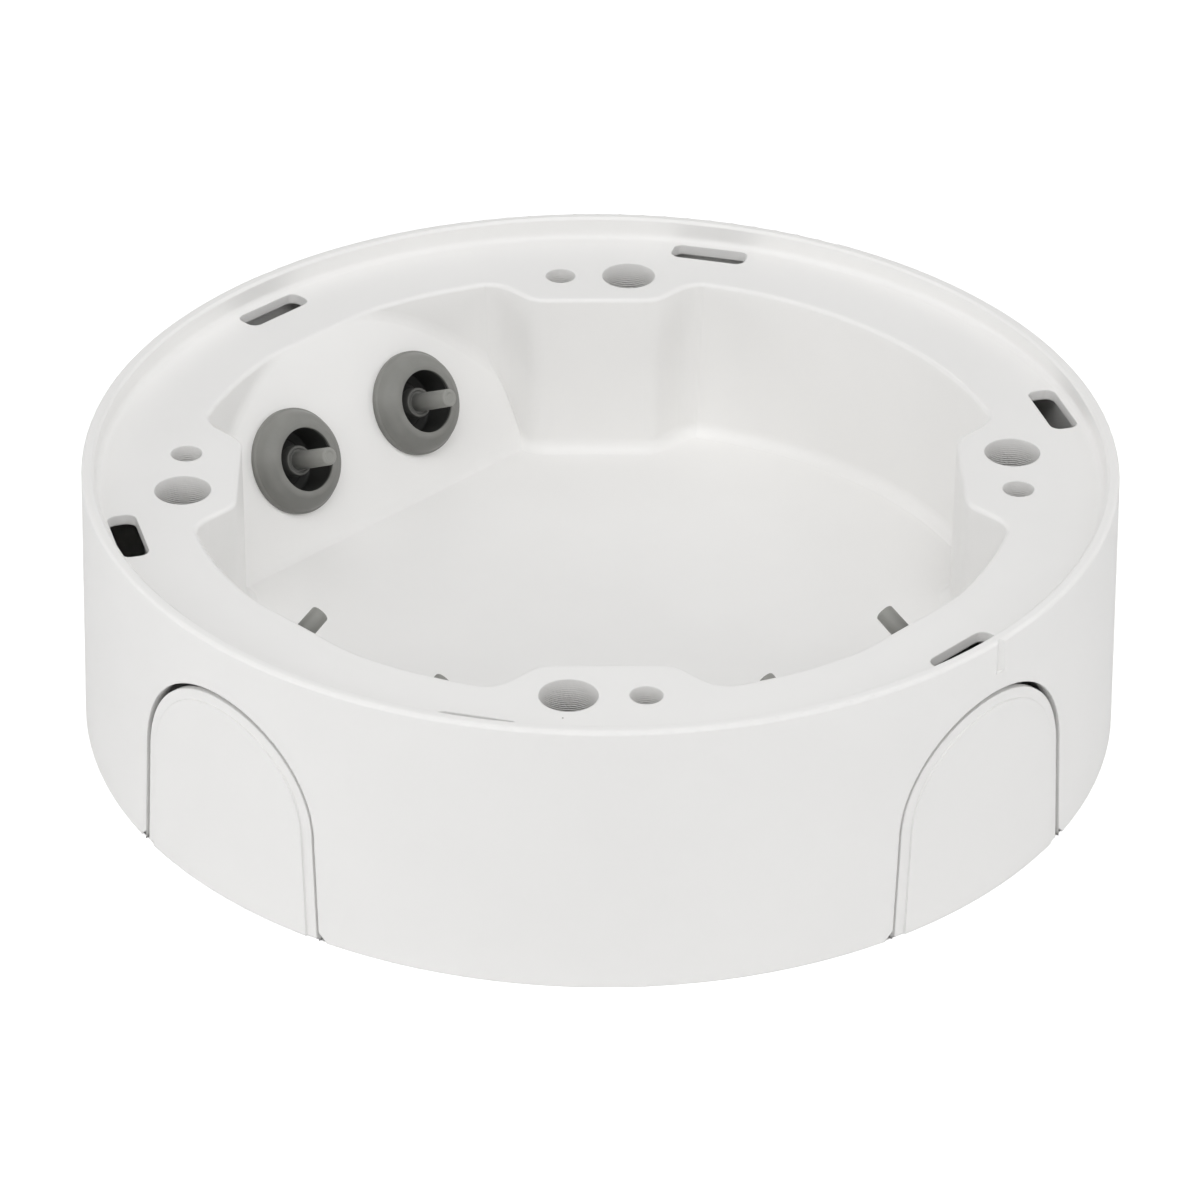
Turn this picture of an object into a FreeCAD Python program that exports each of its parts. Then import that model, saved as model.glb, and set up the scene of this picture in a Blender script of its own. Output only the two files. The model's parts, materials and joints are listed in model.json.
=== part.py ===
# Camera junction box: a round cast housing for a ceiling or wall camera, with three arch covers
# for surface conduit and six rubber cable grommets in the slanted walls of its wiring pot.
# Millimetres. The origin is the centre of the base on the wall or ceiling, and +Z points out of
# it, towards the camera. The plain side of the pot faces +Y.
import FreeCAD, Part
import math
import os
import re
import Sketcher
from FreeCAD import Placement, Rotation, Vector

doc = FreeCAD.newDocument("camera_junction_box")

# Driving dimensions
DIMENSIONS = {
    # Housing shell
    "rim_radius": (92.0, "outer radius at the top of the rim"),
    "skirt_flare": (1.4, "how much wider the base is than the rim"),
    "box_height": (50.0, "base to top of the rim"),
    "skirt_wall": (2.5, "thickness of the skirt"),
    "rim_height": (4.3, "top of the rim above the flange that the camera sits on"),
    "rim_wall": (2.3, "thickness of the rim at the flange"),
    "rim_round": (0.7, "rounding of the rim's outer top edge"),
    "rim_chamfer": (0.5, "chamfer of the rim's inner top edge"),
    "rim_fillet": (1.2, "fillet between the rim and the flange"),
    "flange_thickness": (2.0, "thickness of the flange"),
    # Wiring pot
    "flange_span": (18.3, "outer face of the rim to the pot's edge, before it is rounded"),
    "pot_depth": (32.7, "depth of the pot below the flange"),
    "pot_draft": (0.5, "draft of the pot's round wall, in degrees"),
    "pot_wall": (2.5, "thickness of the pot's round wall"),
    "floor_thickness": (2.5, "thickness of the pot's floor"),
    "floor_fillet": (3.0, "fillet between the pot's floor and its walls"),
    "floor_cove_sink": (0.25, "how far a fillet's tangent point lies below the pot's floor"),
    "edge_round": (0.8, "rounding of the pot's edge at the flange"),
    # Screw bosses in the pot wall
    "boss_depth": (9.4, "how far a boss stands into the pot"),
    "boss_half_width": (11.5, "half width of a boss at its sharp corners"),
    "boss_corner": (5.0, "rounding of a boss's corners"),
    "boss_blend": (6.0, "fillet between a boss and the round wall"),
    "blend_overrun": (0.15, "how far that fillet runs on past the round wall"),
    # Slanted walls
    "slope_angle": (27.5, "lean of the slanted walls from upright, in degrees"),
    "slope_inset": (0.57, "how far a slanted wall's plane lies inside the pot's edge"),
    "slope_wall": (2.5, "thickness of a slanted wall"),
    "slope_blend": (4.0, "fillet between a slanted wall and the round wall"),
    # Screw pillars
    "hole_outset": (0.6, "pot's edge to the circle that the screw holes lie on"),
    "hole_angle": (5.0, "angle from a boss's middle to each of its two holes, in degrees"),
    "pillar_radius": (7.2, "end radius of the oblong pillar round the two holes"),
    "head_bore": (10.0, "bore that lets a mounting screw's head down the pillar"),
    "screw_bore": (5.5, "clearance hole of a mounting screw"),
    "screw_seat": (6.0, "seat of a mounting screw's head above the base"),
    "camera_bore": (5.6, "blind hole for a screw that fixes the camera"),
    "camera_bore_depth": (14.0, "depth of that hole below the flange"),
    # Hook slots in the flange
    "slot_inset": (6.4, "outer face of the rim to the middle of a hook slot"),
    "slot_length": (14.4, "length of a hook slot"),
    "slot_width": (5.1, "width of a hook slot"),
    "slot_corner": (1.8, "corner radius of a hook slot"),
    # Alignment marks
    "mark_width": (1.8, "width of the two alignment marks in the rim"),
    "mark_depth": (0.6, "depth of the marks in the outer face"),
    "mark_length": (6.2, "length of a mark down from the top of the rim"),
    "mark_turn": (0.9, "turn of each mark from its side's middle towards the plain side"),
    # Conduit arches in the skirt
    "arch_radius": (21.0, "radius of an arch's round top"),
    "arch_margin": (3.25, "skirt left between the top of an arch and the flange"),
    "arch_flare": (1.0, "how much wider each side is at the base"),
    "arch_foot": (1.6, "chamfer of the skirt's corners at the foot of an arch"),
    # Arch covers
    "cover_gap": (0.7, "gap beside a cover in its arch"),
    "cover_drop": (0.4, "how much wider that gap is at the top of the arch"),
    "cover_foot": (0.1, "bottom of a cover above the base"),
    "cover_wall": (1.6, "thickness of a cover's panel"),
    "cover_border": (1.9, "width of the sunken border round the panel"),
    "cover_step": (0.3, "depth of that border below the panel"),
    "cover_rib": (3.6, "width of the rib that joins a guide tongue to the panel"),
    "tongue_reach": (3.6, "reach of a cover's guide tongues behind the skirt, past the arch"),
    "tongue_drop": (1.45, "top of the tongues below the middle of the arch's round top"),
    "tongue_wall": (1.8, "thickness of the tongues"),
    "tongue_gap": (0.2, "clearance of the tongues in their guides"),
    "guide_wall": (1.8, "thickness of the guide ribs on the housing"),
    "guide_hook": (2.2, "reach of a guide rib's hook behind the tongue"),
    # Cable grommets; heights are measured along the axis from the slanted wall's inner face
    "grommet_spacing": (30.9, "distance between the two grommets of a wall"),
    "grommet_drop": (1.35, "how far the axis meets that face below the middle of the pot's depth"),
    "neck_radius": (7.8, "radius of a grommet's neck"),
    "neck_gap": (0.15, "clearance of the neck in its hole"),
    "neck_wall": (2.4, "thickness of the neck behind the membrane"),
    "front_reach": (2.1, "reach of a grommet's front flange past its neck"),
    "front_edge": (1.2, "thickness of the front flange at its outer edge"),
    "shoulder_inset": (1.0, "shoulder of the funnel inside the flange's outer edge"),
    "shoulder_height": (2.8, "height of that shoulder"),
    "crest_height": (4.05, "height of the funnel's crest"),
    "crest_width": (0.9, "width of the crest"),
    "opening_radius": (5.9, "radius of the funnel's opening"),
    "well_taper": (0.3, "how much narrower the well is at its floor"),
    "well_height": (0.9, "height of the well's floor"),
    "membrane": (1.0, "thickness of the membrane that a cable is pushed through"),
    "nub_radius": (1.7, "radius of the pull-off nub"),
    "nub_tip": (11.0, "height of the nub's tip"),
    "nub_chamfer": (0.4, "chamfer of the nub's tip"),
    "collar_ring": (1.1, "reach of the collar round the nub's foot past the nub"),
    "collar_height": (0.8, "height of the collar above the well's floor"),
    "retainer_reach": (1.6, "reach of the retaining ring behind the wall past the neck"),
    "retainer_edge": (0.9, "thickness of that ring at its outer edge"),
    "retainer_depth": (3.0, "height of the ring's cone behind the wall"),
}

# Places and sizes worked out from the driving ones
WORKED_OUT = {
    "base_radius": "rim_radius + skirt_flare",
    "skirt_lean": "skirt_flare / box_height",
    "far_out": "base_radius * 1.5",
    "flange_top": "box_height - rim_height",
    "flange_under": "flange_top - flange_thickness",
    "pot_radius": "rim_radius - flange_span",
    "draft_lean": "tan(pot_draft * 1deg)",
    "floor_top": "flange_top - pot_depth",
    "floor_under": "floor_top - floor_thickness",
    "cove_bottom": "floor_top - floor_cove_sink",
    "slope_lean": "tan(slope_angle * 1deg)",
    "slope_cosine": "cos(slope_angle * 1deg)",
    "boss_face": "pot_radius - boss_depth",
    "boss_turn_in": "boss_corner * tan(22.5deg)",
    "blend_across": "pot_radius + blend_overrun - boss_blend",
    "blend_shift": "boss_half_width - boss_face + boss_blend * sqrt(2)",
    "blend_x": "(sqrt(2 * blend_across ^ 2 - blend_shift ^ 2) - blend_shift) / 2",
    "blend_y": "blend_x + blend_shift",
    "hole_circle": "pot_radius + hole_outset",
    "slot_circle": "rim_radius - slot_inset",
    "arch_start": "(pot_radius + rim_radius - skirt_wall) / 2",
    "arch_half_foot": "arch_radius + arch_flare",
    "arch_centre": "flange_under - arch_margin - arch_radius",
    "tongue_top": "arch_centre - tongue_drop",
    "tongue_end": "arch_half_foot + tongue_reach",
    "tongue_turn": "asin((tongue_end - tongue_reach / 2) / (base_radius - skirt_wall))",
    "skirt_inside": "base_radius - skirt_wall - tongue_top * skirt_lean",
    "hook_face": "skirt_inside - tongue_gap * 2 - tongue_wall",
    "tongue_corner": "sqrt((hook_face + tongue_gap) ^ 2 - tongue_end ^ 2)",
    "web_face": "tongue_end * cos(tongue_turn) - tongue_corner * sin(tongue_turn) + tongue_gap",
    "grommet_height": "(floor_top + flange_top) / 2 - grommet_drop",
    "front_radius": "neck_radius + front_reach",
    "crown_radius": "opening_radius + crest_width",
    "collar_radius": "nub_radius + collar_ring",
    "retainer_radius": "neck_radius + retainer_reach",
}

# Counts, and the slanted walls in turn, from the one on the -X side
BOSS_COUNT = 4
SLOT_COUNT = 6
WALLS = ("left", "front", "right")
FIRST_WALL = 180
WALL_TURN = 90

sizes = doc.addObject("Spreadsheet::Sheet", "sizes")
for row, (alias, (value, meaning)) in enumerate(DIMENSIONS.items(), start=1):
    sizes.set("A%d" % row, alias.replace("_", " "))
    sizes.set("B%d" % row, repr(value))
    sizes.setAlias("B%d" % row, alias)
    sizes.set("C%d" % row, meaning)
doc.recompute()


# Expressions over the sheet: a name such as rim_radius stands for its cell, and a worked-out
# name for its own expression
def sheet_expression(text):
    def written_out(match):
        word = match.group()
        if word in DIMENSIONS:
            return "sizes." + word
        if word in WORKED_OUT:
            return "(%s)" % sheet_expression(WORKED_OUT[word])
        return word

    return re.sub("[a-z_]+", written_out, text)


def value_of(text):
    result = sizes.evalExpression(sheet_expression(text))
    return float(getattr(result, "Value", result))


def slope_distance(height, behind="0"):
    """Distance of a slanted wall's inner face, or of a face behind it, at a height."""
    return "(pot_radius - slope_inset - (flange_top - (%s)) * slope_lean + (%s) / slope_cosine)" % (
        height, behind)


def origin_plane(body, role):
    return [item for item in body.Origin.OriginFeatures if item.Role == role][0]


def new_body(name):
    body = doc.addObject("PartDesign::Body", name)
    body.Label = name
    return body


def new_sketch(body, name, role="XY_Plane", offset=None, turn=None):
    """Empty sketch on one of the body's own origin planes, moved along its normal by offset."""
    sketch = body.newObject("Sketcher::SketchObject", name)
    sketch.AttachmentSupport = [(origin_plane(body, role), "")]
    sketch.MapMode = "FlatFace"
    if offset is not None:
        sketch.setExpression("AttachmentOffset.Base.z", sheet_expression(offset))
    if turn is not None:
        axis = Vector(0, 0, 1)
        sketch.AttachmentOffset = Placement(Vector(0, 0, 0), Rotation(axis, value_of(turn)))
        sketch.setExpression("AttachmentOffset.Rotation.Angle", sheet_expression(turn))
    doc.recompute()
    return sketch


def pin(sketch, geometry, point, across, along):
    """Hold a point at two distances from the sketch's origin, each bound to the sheet."""
    for kind, text in (("DistanceX", across), ("DistanceY", along)):
        index = sketch.addConstraint(
            Sketcher.Constraint(kind, -1, 1, geometry, point, value_of(text)))
        sketch.setExpression("Constraints[%d]" % index, sheet_expression(text))


def arc_between(start, end, radius, turn):
    """Short arc of a radius from start to end that turns left (1) or right (-1)."""
    chord = end - start
    middle = (start + end) / 2
    rise = math.sqrt(max(radius ** 2 - (chord.Length / 2) ** 2, 0))
    aside = Vector(-chord.y, chord.x, 0).normalize()
    centre = middle + aside * rise * turn
    outward = (middle - centre).normalize() if rise > 0 else -aside * turn
    return Part.Arc(start, centre + outward * radius, end)


def draw_outline(sketch, corners):
    """Closed outline through corners: (across, along) starts a straight line, and
    (across, along, radius, turn) an arc that turns left (1) or right (-1)."""
    points = [Vector(value_of(corner[0]), value_of(corner[1]), 0) for corner in corners]
    starts = []
    for number, corner in enumerate(corners):
        end = points[(number + 1) % len(points)]
        if len(corner) == 2:
            edge = sketch.addGeometry(Part.LineSegment(points[number], end))
            starts.append((edge, 1, 2))
            continue
        radius, turn = corner[2:]
        arc = arc_between(points[number], end, value_of(radius), turn)
        edge = sketch.addGeometry(arc)
        starts.append((edge, 1, 2) if turn > 0 else (edge, 2, 1))
        index = sketch.addConstraint(Sketcher.Constraint("Radius", edge, value_of(radius)))
        sketch.setExpression("Constraints[%d]" % index, sheet_expression(radius))
    for number, (edge, start, end) in enumerate(starts):
        after, after_start, _ = starts[(number + 1) % len(starts)]
        sketch.addConstraint(Sketcher.Constraint("Coincident", edge, end, after, after_start))
        pin(sketch, edge, start, corners[number][0], corners[number][1])


def draw_circle(sketch, across, along, radius):
    centre = Vector(value_of(across), value_of(along), 0)
    circle = sketch.addGeometry(Part.Circle(centre, Vector(0, 0, 1), value_of(radius)))
    pin(sketch, circle, 3, across, along)
    index = sketch.addConstraint(Sketcher.Constraint("Radius", circle, value_of(radius)))
    sketch.setExpression("Constraints[%d]" % index, sheet_expression(radius))


def draw_arch(sketch, radius, centre, side_foot, foot):
    """Round-topped arch whose sides run down to side_foot at the foot."""
    draw_outline(sketch, [
        ("-(%s)" % side_foot, foot),
        (side_foot, foot),
        (radius, centre, radius, 1),
        ("0", "%s + %s" % (centre, radius), radius, 1),
        ("-(%s)" % radius, centre)])


def draw_rounded_rectangle(sketch, middle, width, length, corner):
    """Rectangle with rounded corners: width across the sketch's X about middle, length along Y."""
    corners = []
    for side, end in ((1, 1), (-1, 1), (-1, -1), (1, -1)):
        beside = ("%s + %d * %s / 2" % (middle, side, width),
                  "%d * (%s / 2 - %s)" % (end, length, corner))
        across = ("%s + %d * (%s / 2 - %s)" % (middle, side, width, corner),
                  "%d * %s / 2" % (end, length))
        first, second = (beside, across) if side * end > 0 else (across, beside)
        corners += [first + (corner, 1), second]
    draw_outline(sketch, corners)


def revolve(body, name, sketch):
    feature = body.newObject("PartDesign::Revolution", name)
    feature.Profile = sketch
    feature.ReferenceAxis = (sketch, ["V_Axis"])
    feature.Angle = 360
    doc.recompute()
    return feature


def pad(body, name, sketch, length, reverse=False):
    feature = body.newObject("PartDesign::Pad", name)
    feature.Profile = sketch
    feature.Reversed = reverse
    feature.setExpression("Length", sheet_expression(length))
    doc.recompute()
    return feature


def pocket(body, name, sketch, length, reverse=False, both_ways=False):
    """Cut that must take something away; length is the depth of the cut."""
    before = body.Tip.Shape.Volume
    feature = body.newObject("PartDesign::Pocket", name)
    feature.Profile = sketch
    feature.Reversed = reverse
    if both_ways:
        feature.SideType = "Symmetric"
    feature.setExpression("Length", sheet_expression(length))
    doc.recompute()
    if not feature.Shape.Volume < before - 0.01:
        raise RuntimeError(name + " cuts nothing")
    return feature


def repeat(body, name, features, count, angle):
    """Copies of some features about the box's axis, spread over an angle."""
    pattern = body.newObject("PartDesign::PolarPattern", name)
    pattern.Originals = features
    pattern.Axis = (origin_plane(body, "Z_Axis"), [""])
    pattern.Angle = angle
    pattern.Occurrences = count
    body.Tip = pattern
    doc.recompute()
    return pattern


def spread_over_walls(body, name, features):
    """Copies of the first slanted wall's features for the other ones."""
    return repeat(body, name, features, len(WALLS), WALL_TURN * (len(WALLS) - 1))


def edge_names(feature, wanted):
    edges = enumerate(feature.Shape.Edges, start=1)
    return ["Edge%d" % number for number, edge in edges if wanted(edge)]


def fillet(body, name, wanted, radius):
    """Fillet of the body's edges that the test picks out."""
    base = body.Tip
    names = edge_names(base, wanted)
    if not names:
        raise RuntimeError(name + " finds no edge")
    feature = body.newObject("PartDesign::Fillet", name)
    feature.Base = (base, names)
    feature.setExpression("Radius", sheet_expression(radius))
    doc.recompute()
    return feature


def middle_of(edge):
    return edge.valueAt((edge.FirstParameter + edge.LastParameter) / 2)


def flat_at(edge, height):
    """True for an edge that lies level at a height."""
    heights = [edge.valueAt(edge.FirstParameter).z, middle_of(edge).z,
               edge.valueAt(edge.LastParameter).z]
    return max(abs(item - height) for item in heights) < 0.001


def circle_at(edge, radius, height):
    """True for a whole or part circle about the box's axis."""
    point = middle_of(edge)
    return flat_at(edge, height) and abs(math.hypot(point.x, point.y) - radius) < 0.01


# Space inside the pot
def cut_back(body, name, behind, top):
    """Take away what lies beyond the three slanted planes, up to a height."""
    sketch = new_sketch(body, name + "_line", "XZ_Plane")
    draw_outline(sketch, [
        ("-" + slope_distance("0", behind), "0"),
        ("-" + slope_distance(top, behind), top),
        ("-far_out", top),
        ("-far_out", "0")])
    cut = pocket(body, name, sketch, "far_out * 2", both_ways=True)
    spread_over_walls(body, name + "s", [cut])


def make_round_space():
    """Pot as if it had no bosses. It widens above the flange, so that its mouth can be rounded,
    and reaches a little below the floor until its fillets are made."""
    body = new_body("round_space")
    side = new_sketch(body, "space_section", "XZ_Plane")
    above = "(flange_top + rim_height * 2)"
    widest = "(pot_radius + edge_round * 2)"
    draw_outline(side, [
        ("0", "cove_bottom"),
        ("pot_radius - (flange_top - cove_bottom) * draft_lean", "cove_bottom"),
        ("pot_radius", "flange_top"),
        (widest, "flange_top"),
        (widest, above),
        ("0", above)])
    revolve(body, "turned_space", side)
    cut_back(body, "slope", "0", "flange_top")
    low = value_of("cove_bottom")
    flange = value_of("flange_top")
    wall = value_of("pot_radius") + 0.001

    def at_wall_joint(edge):
        ends = [edge.valueAt(edge.FirstParameter).z, edge.valueAt(edge.LastParameter).z]
        return min(ends) < low + 0.001 and abs(max(ends) - flange) < 0.001 and not (
            edge.Curve.TypeId == "Part::GeomLine")

    def at_mouth(edge):
        point = middle_of(edge)
        return flat_at(edge, flange) and math.hypot(point.x, point.y) < wall

    fillet(body, "slope_joint", at_wall_joint, "slope_blend")
    fillet(body, "floor_cove", lambda edge: flat_at(edge, low), "floor_fillet")
    fillet(body, "mouth", at_mouth, "edge_round")
    floor = new_sketch(body, "floor_disc", offset="floor_top")
    draw_circle(floor, "0", "0", "far_out")
    pocket(body, "floor", floor, "floor_thickness")
    return body


def boss_side(side):
    """Corners of one side of a boss's outline, from its flat face out to the round wall. The
    fillet to the wall has its centre at blend_x, blend_y in the boss's own frame: boss_blend from
    the boss's side, which leaves its face at 45 degrees, and from the wall."""
    corner_run = "(boss_turn_in * sqrt(0.5))"
    stretch = "((pot_radius + blend_overrun) / blend_across)"
    return [
        ("boss_face", "%d * (boss_half_width - boss_turn_in)" % side),
        ("boss_face + %s" % corner_run, "%d * (boss_half_width + %s)" % (side, corner_run)),
        ("blend_x + boss_blend * sqrt(0.5)", "%d * (blend_y - boss_blend * sqrt(0.5))" % side),
        ("blend_x * %s" % stretch, "%d * blend_y * %s" % (side, stretch))]


def make_boss(number):
    """Solid that a screw boss takes out of the pot's space: a prism with rounded corners,
    flared where it meets the floor and rounded at the flange."""
    body = new_body("boss_%d" % number)
    far = "(pot_radius + pot_wall * 2)"
    near = "(boss_face - floor_fillet * 2)"
    spread = "(boss_half_width * 4)"
    base = new_sketch(body, "boss_foot_outline_%d" % number, offset="cove_bottom - floor_thickness")
    draw_outline(base, [(near, "-" + spread), (far, "-" + spread), (far, spread), (near, spread)])
    pad(body, "boss_foot_%d" % number, base, "floor_thickness")

    left = boss_side(1)
    right = boss_side(-1)
    corners = [
        left[0] + ("boss_corner", -1), left[1], left[2] + ("boss_blend", 1), left[3],
        (far, left[3][1]), (far, right[3][1]),
        right[3] + ("boss_blend", 1), right[2], right[1] + ("boss_corner", -1), right[0]]
    outline = new_sketch(body, "boss_outline_%d" % number, offset="cove_bottom - floor_thickness / 2")
    draw_outline(outline, corners)
    pad(body, "boss_prism_%d" % number, outline, "flange_top - cove_bottom + floor_thickness / 2")
    front = value_of("boss_face") - 0.001
    back = value_of(far) - 0.001
    wide = value_of(spread) - 0.001
    low = value_of("cove_bottom")
    flange = value_of("flange_top")

    def in_front(edge):
        return max(edge.valueAt(edge.FirstParameter).x, edge.valueAt(edge.LastParameter).x) < back

    def at_foot(edge):
        point = middle_of(edge)
        return flat_at(edge, low) and front < point.x < back and abs(point.y) < wide

    def at_top(edge):
        return flat_at(edge, flange) and in_front(edge)

    fillet(body, "boss_flare_%d" % number, at_foot, "floor_fillet")
    fillet(body, "boss_edge_%d" % number, at_top, "edge_round")
    body.Placement = Placement(Vector(0, 0, 0),
                               Rotation(Vector(0, 0, 1), 45 + 360 / BOSS_COUNT * number))
    return body


def make_pot_space():
    bosses = doc.addObject("Part::MultiFuse", "bosses")
    bosses.Shapes = [make_boss(number) for number in range(BOSS_COUNT)]
    space = doc.addObject("Part::Cut", "pot_space")
    space.Base = make_round_space()
    space.Tool = bosses
    doc.recompute()
    return space


# Housing casting
def draw_oblong(sketch, middle, half_spacing, radius):
    """Outline with round ends, their centres at middle and half_spacing to either side."""
    end = "(%s + %s)" % (half_spacing, radius)
    wide = "(%s + %s)" % (middle, radius)
    narrow = "(%s - %s)" % (middle, radius)
    draw_outline(sketch, [
        (wide, "-" + half_spacing),
        (wide, half_spacing, radius, 1),
        (middle, end, radius, 1),
        (narrow, half_spacing),
        (narrow, "-" + half_spacing, radius, 1),
        (middle, "-" + end, radius, 1)])


def add_pot_block(body):
    """Solid block of the pot, cut back behind the slanted walls."""
    section = new_sketch(body, "pot_section", "XZ_Plane")
    draw_outline(section, [
        ("0", "floor_under"),
        ("pot_radius + pot_wall - pot_depth * draft_lean", "floor_under"),
        ("pot_radius + pot_wall", "flange_under"),
        ("0", "flange_under")])
    revolve(body, "pot_block", section)
    cut_back(body, "slope_back", "slope_wall", "box_height")


def add_rim(body):
    """Skirt, flange and rim in one turn about the axis."""
    section = new_sketch(body, "rim_section", "XZ_Plane")
    draw_outline(section, [
        ("0", "flange_under"),
        ("base_radius - skirt_wall - flange_under * skirt_lean", "flange_under"),
        ("base_radius - skirt_wall", "0"),
        ("base_radius", "0"),
        ("rim_radius", "box_height"),
        ("rim_radius - rim_wall + rim_chamfer", "box_height"),
        ("rim_radius - rim_wall", "box_height - rim_chamfer"),
        ("rim_radius - rim_wall", "flange_top"),
        ("0", "flange_top")])
    revolve(body, "rim", section)
    outside = value_of("rim_radius")
    top = value_of("box_height")
    fillet(body, "rim_rounding", lambda edge: circle_at(edge, outside, top), "rim_round")
    inside = value_of("rim_radius - rim_wall")
    flange = value_of("flange_top")
    fillet(body, "rim_foot", lambda edge: circle_at(edge, inside, flange), "rim_fillet")


def add_pillars(body):
    sketch = new_sketch(body, "pillar_outline", turn="45deg")
    draw_oblong(sketch, "(hole_circle * cos(hole_angle * 1deg))",
                "(hole_circle * sin(hole_angle * 1deg))", "pillar_radius")
    pillar = pad(body, "pillar", sketch, "flange_under + flange_thickness / 2")
    repeat(body, "pillars", [pillar], BOSS_COUNT, 360)


def hollow_out(block, space):
    """Body that starts from the block with the pot's inside taken out."""
    pot = doc.addObject("Part::Cut", "hollow_block")
    pot.Base = block
    pot.Tool = space
    doc.recompute()
    body = new_body("housing")
    body.BaseFeature = pot
    doc.recompute()
    return body


def four_circles(sketch, across, along, radius):
    for side in (1, -1):
        for end in (1, -1):
            draw_circle(sketch, "%d * %s" % (side, across), "%d * %s" % (end, along), radius)


def drill_pillars(body):
    """Screw holes with their head bores, and the blind holes beside them."""
    near = "(hole_circle * cos(45deg + hole_angle * 1deg))"
    far = "(hole_circle * sin(45deg + hole_angle * 1deg))"
    head = new_sketch(body, "head_circles", offset="screw_seat")
    four_circles(head, near, far, "head_bore / 2")
    pocket(body, "head_bores", head, "box_height", reverse=True)
    screw = new_sketch(body, "screw_circles")
    four_circles(screw, near, far, "screw_bore / 2")
    pocket(body, "screw_holes", screw, "screw_seat * 2", reverse=True)
    camera = new_sketch(body, "camera_circles", offset="flange_top")
    four_circles(camera, far, near, "camera_bore / 2")
    pocket(body, "camera_holes", camera, "camera_bore_depth")


def cut_hook_slots(body):
    outline = new_sketch(body, "slot_outline", offset="flange_top")
    draw_rounded_rectangle(outline, "slot_circle", "slot_width", "slot_length", "slot_corner")
    slot = pocket(body, "hook_slot", outline, "flange_thickness * 2")
    repeat(body, "hook_slots", [slot], SLOT_COUNT, 360)


def cut_marks(body):
    """Two upright V grooves that show how the camera is turned."""
    turns = {"right": "mark_turn * 1deg", "left": "180deg - mark_turn * 1deg"}
    for name, turn in turns.items():
        outline = new_sketch(body, name + "_mark_outline", offset="box_height", turn=turn)
        draw_outline(outline, [
            ("rim_radius - mark_depth", "0"),
            ("rim_radius + mark_depth", "mark_width"),
            ("rim_radius + mark_depth", "-mark_width")])
        pocket(body, name + "_mark", outline, "mark_length")


def cut_arches(body):
    """Openings for surface conduit, with chamfered corners at the foot."""
    outline = new_sketch(body, "arch_outline", "YZ_Plane", offset="-arch_start")
    draw_arch(outline, "arch_radius", "arch_centre", "arch_half_foot", "0")
    cuts = [pocket(body, "arch", outline, "far_out")]
    for name, side in (("first", 1), ("second", -1)):
        edge = "%d * arch_half_foot" % side
        past = "%d * (arch_half_foot + arch_foot)" % side
        corner = new_sketch(body, name + "_foot_outline", "YZ_Plane", offset="-arch_start")
        draw_outline(corner, [(edge, "-arch_foot"), (past, "-arch_foot"), (past, "0"),
                              (edge, "arch_foot")])
        cuts.append(pocket(body, name + "_foot", corner, "far_out"))
    spread_over_walls(body, "arches", cuts)


def add_guides(body):
    """Hooked ribs behind the skirt that the covers' tongues slide up into, each with a stop.
    They are drawn along a radius through the middle of a tongue, whose end is square to the
    cover and so reaches furthest at its inner corner, tongue_corner from the box's middle."""
    embed = "(skirt_inside + skirt_wall / 2)"
    back = "(hook_face - guide_wall)"
    guides = []
    for name, side in (("first", 1), ("second", -1)):
        turn = "180deg + %d * tongue_turn" % side
        far = "%d * (web_face + guide_wall)" % side
        near = "%d * web_face" % side
        tip = "%d * (web_face - guide_hook)" % side
        inside = "%d * (-tongue_reach / 2)" % side
        hook = new_sketch(body, name + "_guide_outline", offset="cover_foot", turn=turn)
        draw_outline(hook, [(embed, near), (embed, far), (back, far), (back, tip),
                            ("hook_face", tip), ("hook_face", near)])
        guides.append(pad(body, name + "_guide", hook,
                          "tongue_top + tongue_gap + guide_wall - cover_foot"))
        shelf = new_sketch(body, name + "_stop_outline", offset="tongue_top + tongue_gap", turn=turn)
        draw_outline(shelf, [(embed, inside), (embed, far), (back, far), (back, inside)])
        guides.append(pad(body, name + "_stop", shelf, "guide_wall"))
    spread_over_walls(body, "guides", guides)


def cut_grommet_holes(body):
    """Round holes square to the slanted walls."""
    holes = new_sketch(body, "grommet_circles", "YZ_Plane")
    holes.AttachmentOffset = Placement(Vector(0, 0, 0), Rotation(Vector(-1, 0, 0), 1))
    holes.setExpression("AttachmentOffset.Rotation.Angle", sheet_expression("slope_angle * 1deg"))
    holes.setExpression("AttachmentOffset.Base.y", sheet_expression("grommet_height"))
    holes.setExpression("AttachmentOffset.Base.z",
                        sheet_expression("-" + slope_distance("grommet_height")))
    doc.recompute()
    for side in (1, -1):
        draw_circle(holes, "%d * grommet_spacing / 2" % side, "0", "neck_radius + neck_gap")
    hole = pocket(body, "grommet_hole", holes, "slope_wall * 4", both_ways=True)
    spread_over_walls(body, "grommet_holes", [hole])


def make_housing():
    block = new_body("solid_block")
    add_pot_block(block)
    add_rim(block)
    cut_marks(block)
    add_guides(block)
    cut_arches(block)
    cut_hook_slots(block)
    add_pillars(block)
    body = hollow_out(block, make_pot_space())
    drill_pillars(body)
    cut_grommet_holes(body)
    return body


# Arch covers
def make_shell(name, outer_inset, inner_inset, foot, top):
    """Ring that follows the skirt's outer face, from one inset from it to another."""
    body = new_body(name)
    section = new_sketch(body, name + "_section", "XZ_Plane")

    def point(inset, height):
        return ("base_radius - (%s) - (%s) * skirt_lean" % (inset, height), height)

    draw_outline(section, [point(inner_inset, foot), point(outer_inset, foot),
                           point(outer_inset, top), point(inner_inset, top)])
    revolve(body, name + "_ring", section)
    return body


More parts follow.
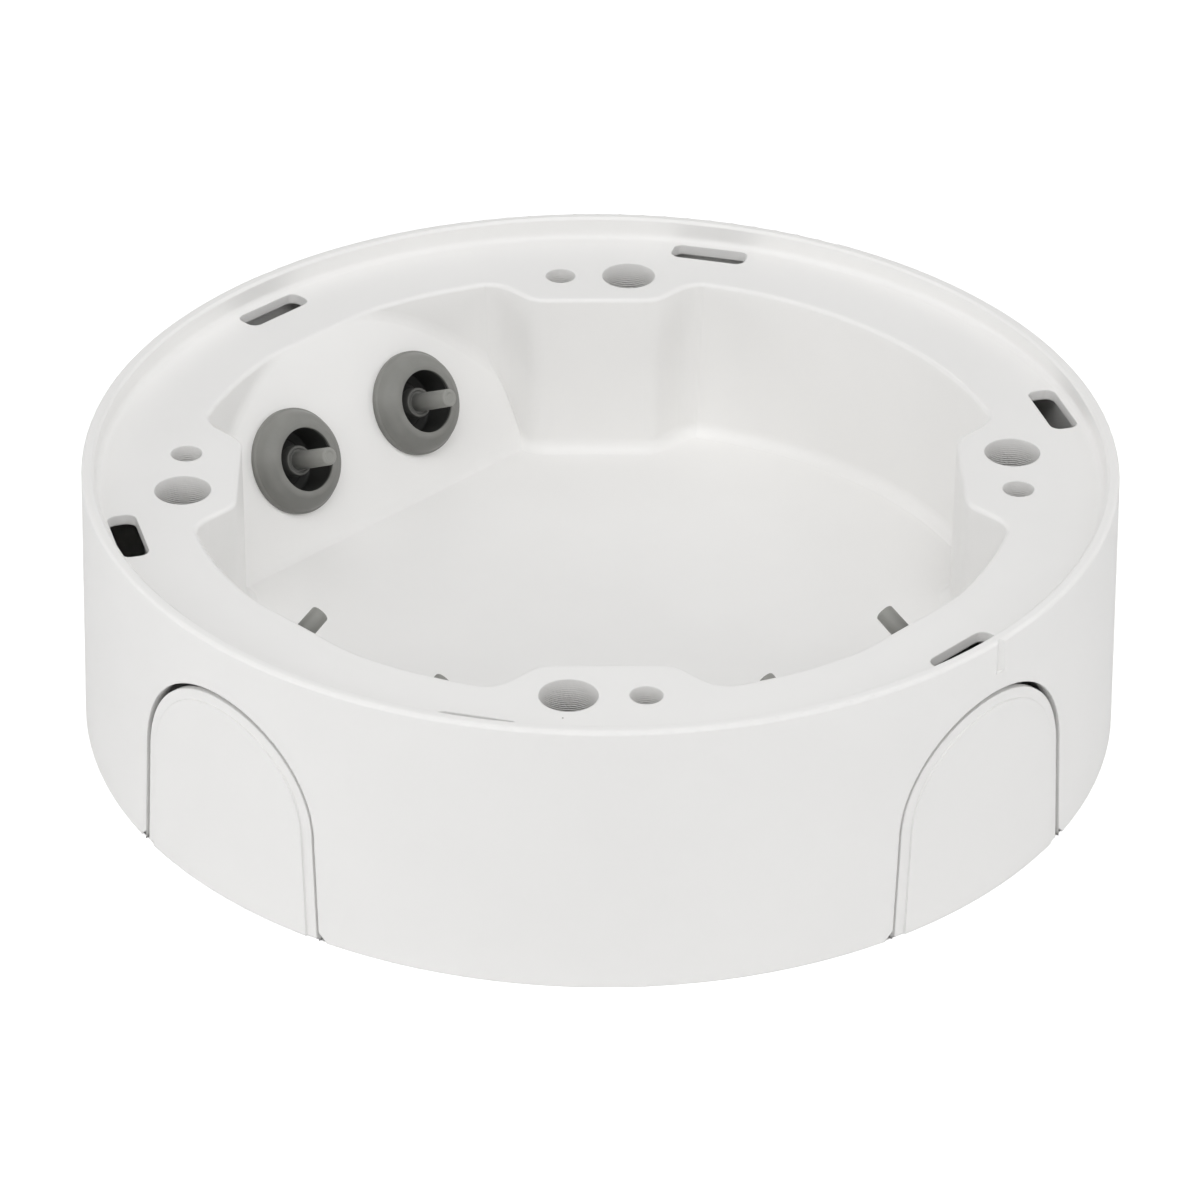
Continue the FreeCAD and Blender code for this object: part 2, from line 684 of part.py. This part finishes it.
def make_arch_prism(name, inset):
    """Solid arch in front of the skirt's middle, smaller than the opening by an inset."""
    body = new_body(name)
    outline = new_sketch(body, name + "_outline", "XZ_Plane")
    draw_arch(outline, "(arch_radius - (%s))" % inset, "(arch_centre - cover_drop)",
              "(arch_half_foot - (%s))" % inset, "cover_foot")
    pad(body, name + "_pad", outline, "far_out")
    return body


def make_box(name, across, along, up, length, width, height):
    box = doc.addObject("Part::Box", name)
    for field, text in (("Length", length), ("Width", width), ("Height", height),
                        ("Placement.Base.x", across), ("Placement.Base.y", along),
                        ("Placement.Base.z", up)):
        box.setExpression(field, sheet_expression(text))
    return box


def common(name, first, second):
    feature = doc.addObject("Part::Common", name)
    feature.Base = first
    feature.Tool = second
    return feature


def make_cover(label, angle):
    """Cover made on the -Y side of the box, then turned to its own side."""
    made_at = 270
    tongue_front = "(skirt_wall + tongue_gap)"
    tongue_back = "(skirt_wall + tongue_gap + tongue_wall)"
    rib_outside = "(arch_radius - cover_gap)"
    panel = common(label + "_panel",
                   make_shell(label + "_panel_shell", "0", "cover_wall",
                              "cover_foot", "box_height"),
                   make_arch_prism(label + "_panel_arch", "cover_gap + cover_border"))
    border = common(label + "_border",
                    make_shell(label + "_border_shell", "cover_step", "cover_wall",
                               "cover_foot", "box_height"),
                    make_arch_prism(label + "_border_arch", "cover_gap"))
    pieces = [panel, border]
    for name, side in (("left", -1), ("right", 1)):
        rib = "(%s - cover_rib)" % rib_outside
        rib_shell = make_shell(label + "_" + name + "_rib_shell", "cover_wall / 2 + cover_step / 2",
                               tongue_back, "cover_foot", "tongue_top")
        rib_start = rib if side > 0 else "-" + rib_outside
        rib_box = make_box(label + "_" + name + "_rib_box", rib_start, "-far_out",
                           "0", "cover_rib", "far_out", "box_height")
        pieces.append(common(label + "_" + name + "_rib", rib_shell, rib_box))
        tongue_shell = make_shell(label + "_" + name + "_tongue_shell", tongue_front,
                                  tongue_back, "cover_foot", "tongue_top")
        length = "(tongue_end - %s)" % rib
        tongue_start = rib if side > 0 else "-tongue_end"
        tongue_box = make_box(label + "_" + name + "_tongue_box", tongue_start, "-far_out",
                              "0", length, "far_out", "box_height")
        pieces.append(common(label + "_" + name + "_tongue", tongue_shell, tongue_box))
    cover = doc.addObject("Part::MultiFuse", label)
    cover.Shapes = pieces
    cover.Refine = True
    cover.Label = label
    cover.Placement = Placement(Vector(0, 0, 0),
                                Rotation(Vector(0, 0, 1), angle - made_at))
    doc.recompute()
    return cover


# Cable grommets
def make_grommet(label, wall_angle, side):
    """Rubber grommet turned about its own axis, then seated in its slanted wall."""
    body = new_body(label)
    section = new_sketch(body, label + "_section", "XZ_Plane")
    under = "well_height - membrane"
    throat = "neck_radius - neck_wall"
    collar_top = "well_height + collar_height"
    back = "-slope_wall"
    draw_outline(section, [
        ("0", under),
        (throat, under),
        (throat, back + " - retainer_depth"),
        ("neck_radius", back + " - retainer_depth"),
        ("retainer_radius", back + " - retainer_edge"),
        ("retainer_radius", back),
        ("neck_radius", back),
        ("neck_radius", "0"),
        ("front_radius", "0"),
        ("front_radius", "front_edge"),
        ("front_radius - shoulder_inset", "shoulder_height"),
        ("crown_radius", "crest_height"),
        ("opening_radius", "crest_height"),
        ("opening_radius - well_taper", "well_height"),
        ("collar_radius", "well_height"),
        ("collar_radius", collar_top),
        ("nub_radius", collar_top),
        ("nub_radius", "nub_tip - nub_chamfer"),
        ("nub_radius - nub_chamfer", "nub_tip"),
        ("0", "nub_tip")])
    revolve(body, label + "_moulding", section)
    base = "create(<<vector>>; %s; %d * grommet_spacing / 2; grommet_height)" % (
        slope_distance("grommet_height"), side)
    lean = "create(<<rotation>>; create(<<vector>>; 0; 1; 0); slope_angle - 90)"
    turn = "create(<<rotation>>; create(<<vector>>; 0; 0; 1); %g)" % wall_angle
    body.setExpression("Placement", sheet_expression(
        "create(<<placement>>; %s * (%s); %s * %s)" % (turn, base, turn, lean)))
    doc.recompute()
    return body


def write_steps(nodes):
    for item in doc.Objects:
        if "Invalid" in item.State or "Error" in item.State:
            raise RuntimeError("%s is %s" % (item.Name, item.State))
    os.makedirs("parts", exist_ok=True)
    for node in nodes:
        shape = node.Shape
        if shape.isNull() or not shape.isValid():
            raise RuntimeError(node.Label + " has no valid shape")
        shape.exportStep("parts/%s.step" % node.Label)
        print("%-18s %2d solid, %9.1f mm3" % (node.Label, len(shape.Solids), shape.Volume))


nodes = [make_housing()]
for number, wall in enumerate(WALLS):
    angle = FIRST_WALL + WALL_TURN * number
    nodes.append(make_cover("cover_" + wall, angle))
    for letter, side in (("a", -1), ("b", 1)):
        nodes.append(make_grommet("grommet_%s_%s" % (wall, letter), angle, side))
doc.recompute()
write_steps(nodes)
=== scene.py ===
# Camera junction box: finishes, grommets, floor, light and camera around the modelled pieces.
# Blender units are metres. The origin is the centre of the base, and +Z points up to the rim.
import json
import math

import bpy
from mathutils import Matrix, Vector


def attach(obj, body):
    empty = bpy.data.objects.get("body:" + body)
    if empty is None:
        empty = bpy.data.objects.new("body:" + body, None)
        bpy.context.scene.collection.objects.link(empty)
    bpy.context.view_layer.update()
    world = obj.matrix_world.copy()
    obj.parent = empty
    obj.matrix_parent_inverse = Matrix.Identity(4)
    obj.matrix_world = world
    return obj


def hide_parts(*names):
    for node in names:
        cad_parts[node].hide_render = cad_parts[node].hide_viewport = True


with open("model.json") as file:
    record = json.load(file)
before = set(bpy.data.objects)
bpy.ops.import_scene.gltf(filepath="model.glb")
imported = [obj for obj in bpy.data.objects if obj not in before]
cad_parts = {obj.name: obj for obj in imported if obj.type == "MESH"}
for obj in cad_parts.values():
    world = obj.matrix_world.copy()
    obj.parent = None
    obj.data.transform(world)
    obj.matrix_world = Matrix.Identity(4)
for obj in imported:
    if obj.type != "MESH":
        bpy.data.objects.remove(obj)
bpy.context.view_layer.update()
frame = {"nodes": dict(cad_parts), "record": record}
nodes = frame["nodes"]
mounts = {mount["name"]: mount for mount in frame["record"]["mounts"]}
MM = 0.001

# White coat of the casting and the covers
COAT_COLOUR = (0.895, 0.889, 0.877, 1.0)
COAT_ROUGHNESS = 0.46
GLOSS_SWING = 0.08
GLOSS_CELLS = 900.0
CASTING_EDGE = 0.35 * MM
COVER_EDGE = 0.3 * MM
EDGE_SAMPLES = 6

# Dark specks in the casting's coat
SPECK_COLOUR = (0.30, 0.28, 0.25, 1.0)
SPECK_SPACING = 16.0 * MM
SPECK_RADIUS = 0.16 * MM
SPECK_SHARE = 0.3

# Screw bores: radii, the painted shade that darkens them with depth and the depth at which it is
# full, and the drill's rings and grit there
HEAD_BORE_RADIUS = 5.0 * MM
CAMERA_BORE_RADIUS = mounts["camera_screws"]["dims"]["hole_r_mm"] * MM
BORE_MARGIN = 0.12 * MM
PAINTED_BORE_SHADE = (0.62, 0.615, 0.60, 1.0)
BORE_SHADE_DEPTH = 7.0 * MM
RING_PITCH = 0.42 * MM
RING_HEIGHT = 0.07 * MM
GRIT_CELLS = 1500.0
GRIT_DETAIL = 3.0
GRIT_WEIGHT = 6.0

# Grey rubber: its well painted dark as shade, and the painted shades at the nub's foot and tip and
# where it faces sideways
RUBBER_COLOUR = (0.240, 0.240, 0.224, 1.0)
RUBBER_ROUGHNESS = 0.52
RUBBER_SHEEN = 0.08
SHEEN_ROUGHNESS = 0.5
WELL_SHADE_COLOUR = (0.050, 0.051, 0.048, 1.0)
NUB_REACH = 2.95 * MM
WELL_REACH = 7.2 * MM
WELL_TOP = 3.6 * MM
NUB_FOOT = 0.5 * MM
NUB_TIP = 10.0 * MM
FOOT_SHADE = 0.50
TIP_SHADE = 1.25
SIDE_SHADE = 0.76
LIT_FACING = 0.6

# Clouds of tone: cells per metre, their detail, darkest shade, and half the width of the blend
COAT_CLOUDS = dict(cells=38.0, detail=3.0, darkest=0.985, spread=0.15)
COVER_CLOUDS = dict(cells=45.0, detail=3.0, darkest=0.99, spread=0.15)
RUBBER_CLOUDS = dict(cells=260.0, detail=4.0, darkest=0.90, spread=0.2)

# Fine grain: cells per metre, the height of its bumps, and how strongly they show
COAT_PEBBLES = dict(cells=2600.0, height=0.02 * MM, strength=0.35)
COVER_PEBBLES = dict(cells=2400.0, height=0.02 * MM, strength=0.25)
RUBBER_GRAIN = dict(cells=3600.0, height=0.015 * MM, strength=0.3)

# Grommets: outline of one half, as (distance from the axis, height above the wall, rounding)
# in millimetres, from the middle of the membrane's back round to the tip of the nub
GROMMET_OUTLINE = [
    (0.0, -1.6, 0.0),
    (2.4, -1.9, 0.6),
    (4.4, -5.1, 0.4),
    (5.4, -5.2, 0.15),
    (5.4, -5.5, 0.1),
    (7.8, -5.5, 0.3),
    (9.4, -3.4, 0.25),
    (9.4, -2.5, 0.15),
    (7.8, -2.5, 0.0),
    (7.8, 0.0, 0.0),
    (9.9, 0.0, 0.1),
    (9.9, 0.9, 0.2),
    (9.55, 1.2, 0.15),
    (8.9, 2.8, 2.4),
    (7.0, 4.05, 1.5),
    (5.9, 4.05, 0.15),
    (5.95, 3.2, 0.3),
    (6.8, 2.0, 0.5),
    (6.5, -3.9, 0.6),
    (4.6, -4.1, 0.6),
    (2.9, -0.4, 0.4),
    (2.8, 1.7, 0.25),
    (2.35, 1.7, 0.15),
    (2.1, 1.4, 0.1),
    (1.75, 1.4, 0.15),
    (1.66, 11.0, 0.4),
    (1.0, 11.0, 0.15),
    (0.8, 10.85, 0.15),
    (0.0, 10.85, 0.0),
]
GROMMET_STEPS = 96
ROUNDING_STEPS = 5
GROMMET_LEAN = math.radians(27.5)
WALL_TURNS = {"left": 180, "front": 270, "right": 0}
NORMAL_WEIGHT = 90

# Floor and surroundings
FLOOR_COLOUR = (0.80, 0.80, 0.80, 1.0)
FLOOR_ROUGHNESS = 0.9
FLOOR_GLOW = 0.60
FLOOR_HALF = 8.0
FOOTPRINT = 93.0 * MM
HORIZON_LIGHT = 0.9
SKY_LIGHT = 0.24
HORIZON_BAND = (0.02, 0.14)

# Softboxes: azimuth from -Y towards +X and elevation in degrees, size in metres, power in watts
SOFTBOXES = {
    "high_front": (44.0, 62.0, 0.9, 7.9),
    "high_back": (224.0, 62.0, 0.9, 2.5),
    "front": (0.0, 38.0, 1.1, 6.9),
    "right": (90.0, 38.0, 1.1, 5.5),
    "back": (180.0, 38.0, 1.1, 2.5),
    "low_right": (134.0, 14.0, 0.6, 3.6),
    "low_left": (314.0, 14.0, 0.6, 4.8),
}
SOFTBOX_DISTANCE = 1.7

# Camera, as solved from the photograph
VIEW_AZIMUTH = math.radians(43.85)
VIEW_ELEVATION = math.radians(31.58)
VIEW_ROLL = math.radians(0.493)
VIEW_PLACE = Vector((0.5501, -0.5725, 0.5068))
VIEW_REACH = 20.0
LENS_MM = 154.55
SENSOR_MM = 36.0

# Sockets of a Mix node that is set to colour: the share and the two colours, and the result
MIX_INPUTS = (0, 6, 7)
MIX_RESULT = 2


# Node trees
class Tree:
    """Short way to add and join the shader nodes of a material or world."""

    def __init__(self, owner, shader):
        owner.use_nodes = True
        self.nodes = owner.node_tree.nodes
        self.links = owner.node_tree.links
        self.shader = self.nodes[shader]

    def add(self, kind, **settings):
        node = self.nodes.new(kind)
        for field, value in settings.items():
            setattr(node, field, value)
        return node

    def join(self, source, target):
        self.links.new(source, target)

    def give(self, socket, source):
        """Joins a node's output to one of the shader's own sockets."""
        self.join(source, self.shader.inputs[socket])

    def set(self, node, **values):
        for socket, value in values.items():
            node.inputs[socket.replace("_", " ")].default_value = value

    def feed(self, socket, term):
        """Sets a socket to a number or colour, or joins another node's output to it."""
        if isinstance(term, (int, float, tuple)):
            socket.default_value = term
        else:
            self.join(term, socket)

    def place(self, kind="Object"):
        return self.add("ShaderNodeTexCoord").outputs[kind]

    def axes(self, vector):
        """The vector's X, Y and Z."""
        split = self.add("ShaderNodeSeparateXYZ")
        self.join(vector, split.inputs["Vector"])
        return [split.outputs[axis] for axis in "XYZ"]

    def math(self, operation, *terms):
        """One step of arithmetic on numbers or on other nodes' outputs."""
        node = self.add("ShaderNodeMath", operation=operation)
        for socket, term in zip(node.inputs, terms):
            self.feed(socket, term)
        return node.outputs["Value"]

    def distance(self, across, along):
        """Length of a flat vector."""
        squares = [self.math("MULTIPLY", side, side) for side in (across, along)]
        return self.math("SQRT", self.math("ADD", *squares))

    def noise(self, cells, detail=2.0):
        """Noise over the piece, with so many cells per metre."""
        node = self.add("ShaderNodeTexNoise")
        self.join(self.place(), node.inputs["Vector"])
        self.set(node, Scale=cells, Detail=detail)
        return node.outputs["Fac"]

    def ramp(self, source, start, end):
        """Colour that runs between two (position, colour) stops."""
        node = self.add("ShaderNodeValToRGB")
        for element, (position, colour) in zip(node.color_ramp.elements, (start, end)):
            element.position = position
            element.color = colour
        self.join(source, node.inputs["Fac"])
        return node.outputs["Color"]

    def blend(self, share, first, second, mode="MIX"):
        """Colour that runs from first to second with share, or mixes them in another mode."""
        node = self.add("ShaderNodeMix", data_type="RGBA", blend_type=mode)
        for number, term in zip(MIX_INPUTS, (share, first, second)):
            self.feed(node.inputs[number], term)
        return node.outputs[MIX_RESULT]

    def clouded(self, colour, cells, detail, darkest, spread):
        """The colour with soft clouds that are darker by a shade."""
        return self.ramp(self.noise(cells, detail),
                         (0.5 - spread, shade(colour, darkest)), (0.5 + spread, colour))

    def soft_edges(self, radius):
        node = self.add("ShaderNodeBevel", samples=EDGE_SAMPLES)
        self.set(node, Radius=radius)
        return node.outputs["Normal"]

    def bump(self, relief, height, strength, normal=None):
        """Normals of a relief, on top of those of another one if there is one."""
        node = self.add("ShaderNodeBump")
        self.set(node, Distance=height, Strength=strength)
        self.join(relief, node.inputs["Height"])
        if normal is not None:
            self.join(normal, node.inputs["Normal"])
        return node.outputs["Normal"]

    def grain(self, cells, height, strength, normal=None):
        return self.bump(self.noise(cells), height, strength, normal)


def new_material(name):
    material = bpy.data.materials.new(name)
    return material, Tree(material, "Principled BSDF")


def shade(colour, factor):
    return tuple(channel * factor for channel in colour[:3]) + (1.0,)


def grey(level):
    return (level, level, level, 1.0)


def dress(names, material):
    for name in names:
        for slot in nodes[name].material_slots:
            slot.material = material


# Coat of the casting
def bore_shade_and_grit_share(tree, across, along, up):
    """Share that grows with depth down the eight screw bores up to 1, and is 0 elsewhere: there the
    colour is painted darker as shade, and the drill's grit shows.
    """
    away_x = tree.math("ABSOLUTE", across)
    away_y = tree.math("ABSOLUTE", along)
    bores = []
    for name, radius in (("wall_screws", HEAD_BORE_RADIUS), ("camera_screws", CAMERA_BORE_RADIUS)):
        dims = mounts[name]["dims"]
        off_x = tree.math("SUBTRACT", away_x, dims["spacing_x_mm"] / 2 * MM)
        off_y = tree.math("SUBTRACT", away_y, dims["spacing_y_mm"] / 2 * MM)
        reach = tree.distance(off_x, off_y)
        bores.append(tree.math("LESS_THAN", reach, radius + BORE_MARGIN))
    flange = mounts["camera_seat"]["pos_m"][2]
    depth = tree.math("DIVIDE", tree.math("SUBTRACT", flange, up), BORE_SHADE_DEPTH)
    depth_share = tree.math("MINIMUM", tree.math("MAXIMUM", depth, 0.0), 1.0)
    return tree.math("MULTIPLY", tree.math("MAXIMUM", *bores), depth_share)


def specks(tree):
    """1 on a few small specks: one near every third point of a loose grid."""
    cells = tree.add("ShaderNodeTexVoronoi")
    tree.join(tree.place(), cells.inputs["Vector"])
    tree.set(cells, Scale=1.0 / SPECK_SPACING)
    near = tree.math("LESS_THAN", cells.outputs["Distance"], SPECK_RADIUS / SPECK_SPACING)
    pick = tree.axes(cells.outputs["Color"])[0]
    return tree.math("MULTIPLY", near, tree.math("LESS_THAN", pick, SPECK_SHARE))


def drill_marks(tree, up, bore_shade_and_grit, normal):
    """Rings and grit down the screw bores, as deep as the painted shade there."""
    turning = tree.math("SINE", tree.math("MULTIPLY", up, math.tau / RING_PITCH))
    grit = tree.math("MULTIPLY", tree.noise(GRIT_CELLS, GRIT_DETAIL), GRIT_WEIGHT)
    ridges = tree.math("MULTIPLY", tree.math("ADD", turning, grit), bore_shade_and_grit)
    return tree.bump(ridges, RING_HEIGHT, 1.0, normal)


def powder_coat():
    """White powder coat: a fine pebbled skin with a few dark specks. Down the screw bores it is
    painted darker with depth as shade, and it is rough there, with rings from the drill."""
    material, tree = new_material("powder_coat")
    across, along, up = tree.axes(tree.place())
    bore_shade_and_grit = bore_shade_and_grit_share(tree, across, along, up)
    marked = tree.blend(specks(tree), tree.clouded(COAT_COLOUR, **COAT_CLOUDS), SPECK_COLOUR)
    # Painted shade: down the screw bores the colour is blended towards a darker grey with depth.
    tree.give("Base Color", tree.blend(bore_shade_and_grit, marked, PAINTED_BORE_SHADE))
    swing = tree.math("MULTIPLY", tree.noise(GLOSS_CELLS), GLOSS_SWING)
    tree.give("Roughness", tree.math("ADD", swing, COAT_ROUGHNESS - GLOSS_SWING / 2))
    pebbled = tree.grain(**COAT_PEBBLES, normal=tree.soft_edges(CASTING_EDGE))
    tree.give("Normal", drill_marks(tree, up, bore_shade_and_grit, pebbled))
    return material


# Paint of the covers
def cover_paint():
    """Painted plastic, smoother than the casting's coat."""
    material, tree = new_material("cover_paint")
    tree.give("Base Color", tree.clouded(COAT_COLOUR, **COVER_CLOUDS))
    tree.set(tree.shader, Roughness=COAT_ROUGHNESS)
    tree.give("Normal", tree.grain(**COVER_PEBBLES, normal=tree.soft_edges(COVER_EDGE)))
    return material


# Rubber of the grommets
def grommet_rubber():
    """Matt grey rubber with the fine grain of its mould. It is painted palest where it faces up, and
    darkest at the nub's foot and lighter at its tip, as painted light and shade. The well round the
    nub is painted dark as shade."""
    material, tree = new_material("grommet_rubber")
    tone = tree.clouded(RUBBER_COLOUR, **RUBBER_CLOUDS)
    across, along, up = tree.axes(tree.place())
    reach = tree.distance(across, along)
    # Painted light: the rubber is paler the more it faces up, and darker where it faces sideways.
    facing = tree.axes(tree.add("ShaderNodeNewGeometry").outputs["Normal"])[2]
    painted_top_light = tree.ramp(facing, (0.0, grey(SIDE_SHADE)), (LIT_FACING, grey(1.0)))
    # Painted shade on the nub: darkest at its foot in the well, lighter towards its tip.
    height = tree.math("DIVIDE", tree.math("SUBTRACT", up, NUB_FOOT), NUB_TIP - NUB_FOOT)
    painted_nub_shade = tree.ramp(height, (0.0, grey(FOOT_SHADE)), (1.0, grey(TIP_SHADE)))
    nub = tree.math("LESS_THAN", reach, NUB_REACH)
    shaded = tree.blend(nub, tree.blend(1.0, tone, painted_top_light, "MULTIPLY"),
                        tree.blend(1.0, tone, painted_nub_shade, "MULTIPLY"))
    # Painted shade: the well round the nub, below WELL_TOP, is painted near black.
    between = tree.math("MULTIPLY", tree.math("GREATER_THAN", reach, NUB_REACH),
                        tree.math("LESS_THAN", reach, WELL_REACH))
    well_shade = tree.math("MULTIPLY", between, tree.math("LESS_THAN", up, WELL_TOP))
    tree.give("Base Color", tree.blend(well_shade, shaded, WELL_SHADE_COLOUR))
    tree.set(tree.shader, Roughness=RUBBER_ROUGHNESS, Sheen_Weight=RUBBER_SHEEN,
             Sheen_Roughness=SHEEN_ROUGHNESS)
    tree.give("Normal", tree.grain(**RUBBER_GRAIN))
    return material


# Grommets
def rounded(outline):
    """Outline with an arc of a few points at each corner that has a rounding."""
    corners = [(Vector((across, height)), rounding) for across, height, rounding in outline]
    points = []
    for number, (corner, rounding) in enumerate(corners):
        if rounding == 0.0:
            points.append(corner)
            continue
        back = (corners[number - 1][0] - corner).normalized()
        ahead = (corners[number + 1][0] - corner).normalized()
        half = back.angle(ahead) / 2
        centre = corner + (back + ahead).normalized() * rounding / math.sin(half)
        start = corner + back * rounding / math.tan(half) - centre
        end = corner + ahead * rounding / math.tan(half) - centre
        sweep = start.angle_signed(end)
        for step in range(ROUNDING_STEPS + 1):
            turn = Matrix.Rotation(-sweep * step / ROUNDING_STEPS, 2)
            points.append(centre + turn @ start)
    return points


def turned_mesh(name, outline):
    """Closed mesh of an outline turned about the axis. Its first and last points lie on it."""
    vertices = []
    rings = []
    for point in rounded(outline):
        count = GROMMET_STEPS if point.x > 0 else 1
        rings.append(range(len(vertices), len(vertices) + count))
        for step in range(count):
            angle = math.tau * step / count
            place = Vector((math.cos(angle) * point.x, math.sin(angle) * point.x, point.y))
            vertices.append(place * MM)
    faces = []
    for low, high in zip(rings, rings[1:]):
        for step in range(GROMMET_STEPS):
            after = (step + 1) % GROMMET_STEPS
            face = [low[step % len(low)], low[after % len(low)],
                    high[after % len(high)], high[step % len(high)]]
            faces.append(list(dict.fromkeys(face)))
    mesh = bpy.data.meshes.new(name)
    mesh.from_pydata(vertices, [], faces)
    mesh.shade_smooth()
    return mesh


def seat_of(name, turn):
    """Place of a grommet's axis: the middle of its solid across the axis, and the height of its
    tip along it less the outline's."""
    lean = (Matrix.Rotation(math.radians(turn), 4, "Z")
            @ Matrix.Rotation(GROMMET_LEAN - math.pi / 2, 4, "Y"))
    upright = [lean.inverted() @ vertex.co for vertex in nodes[name].data.vertices]
    low = Vector([min(point[axis] for point in upright) for axis in range(3)])
    high = Vector([max(point[axis] for point in upright) for axis in range(3)])
    middle = (low + high) / 2
    tip = max(height for _, height, _ in GROMMET_OUTLINE) * MM
    return lean @ Matrix.Translation((middle.x, middle.y, high.z - tip))


def add_grommets(material):
    mesh = turned_mesh("grommet_moulding", GROMMET_OUTLINE)
    mesh.materials.append(material)
    for name in sorted(nodes):
        if not name.startswith("grommet_"):
            continue
        piece = bpy.data.objects.new(name + "_rubber", mesh)
        bpy.context.scene.collection.objects.link(piece)
        piece.matrix_world = seat_of(name, WALL_TURNS[name.split("_")[1]])
        normals = piece.modifiers.new("weighted", "WEIGHTED_NORMAL")
        normals.weight = NORMAL_WEIGHT
        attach(piece, "root")
        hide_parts(name)


# Floor
def floor_paper():
    """Pale paper that glows white outside the box's footprint."""
    material, tree = new_material("floor_paper")
    tree.set(tree.shader, Base_Color=FLOOR_COLOUR, Roughness=FLOOR_ROUGHNESS,
             Emission_Color=grey(1.0))
    across, along, _ = tree.axes(tree.place())
    beyond = tree.math("GREATER_THAN", tree.distance(across, along), FOOTPRINT)
    tree.give("Emission Strength", tree.math("MULTIPLY", beyond, FLOOR_GLOW))
    return material


def add_floor():
    """Floor whose glow lights nothing else: the box only gets the light that it throws back."""
    corners = [(across * FLOOR_HALF, along * FLOOR_HALF, 0)
               for across, along in ((-1, -1), (1, -1), (1, 1), (-1, 1))]
    mesh = bpy.data.meshes.new("floor")
    mesh.from_pydata(corners, [], [(0, 1, 2, 3)])
    mesh.materials.append(floor_paper())
    floor = bpy.data.objects.new("floor", mesh)
    bpy.context.scene.collection.objects.link(floor)
    itself = bpy.data.collections.new("lit_by_floor")
    itself.objects.link(floor)
    floor.light_linking.receiver_collection = itself


# Light
def add_softbox(name, azimuth, elevation, size, power):
    """Square area light that faces the box."""
    turn = math.radians(azimuth)
    rise = math.radians(elevation)
    away = Vector((math.sin(turn) * math.cos(rise), -math.cos(turn) * math.cos(rise), math.sin(rise)))
    light = bpy.data.lights.new(name, "AREA")
    light.shape = "SQUARE"
    light.size = size
    light.energy = power
    lamp = bpy.data.objects.new(name, light)
    lamp.location = away * SOFTBOX_DISTANCE
    lamp.rotation_euler = away.to_track_quat("Z", "Y").to_euler()
    bpy.context.scene.collection.objects.link(lamp)


def add_studio():
    """Pale surroundings, brightest along the horizon, and the softboxes."""
    world = bpy.data.worlds.new("studio")
    tree = Tree(world, "Background")
    up = tree.axes(tree.place("Generated"))[2]
    low, high = HORIZON_BAND
    tree.give("Color", tree.ramp(up, (low, grey(HORIZON_LIGHT)), (high, grey(SKY_LIGHT))))
    bpy.context.scene.world = world
    for name, settings in SOFTBOXES.items():
        add_softbox(name, *settings)


# Camera
def add_camera():
    turn, rise = VIEW_AZIMUTH, VIEW_ELEVATION
    ahead = Vector((-math.sin(turn) * math.cos(rise), math.cos(turn) * math.cos(rise),
                    -math.sin(rise)))
    level = Vector((math.cos(turn), math.sin(turn), 0.0))
    upright = level.cross(ahead)
    right = level * math.cos(VIEW_ROLL) + upright * math.sin(VIEW_ROLL)
    up = upright * math.cos(VIEW_ROLL) - level * math.sin(VIEW_ROLL)
    lens = bpy.data.cameras.new("photo_camera")
    lens.lens = LENS_MM
    lens.sensor_width = SENSOR_MM
    lens.clip_end = VIEW_REACH
    camera = bpy.data.objects.new("photo_camera", lens)
    camera.matrix_world = (Matrix.Translation(VIEW_PLACE)
                           @ Matrix((right, up, -ahead)).transposed().to_4x4())
    bpy.context.scene.collection.objects.link(camera)
    bpy.context.scene.camera = camera


dress(["housing"], powder_coat())
dress([name for name in nodes if name.startswith("cover_")], cover_paint())
add_grommets(grommet_rubber())
add_floor()
add_studio()
add_camera()
bpy.context.scene.view_settings.view_transform = "Standard"
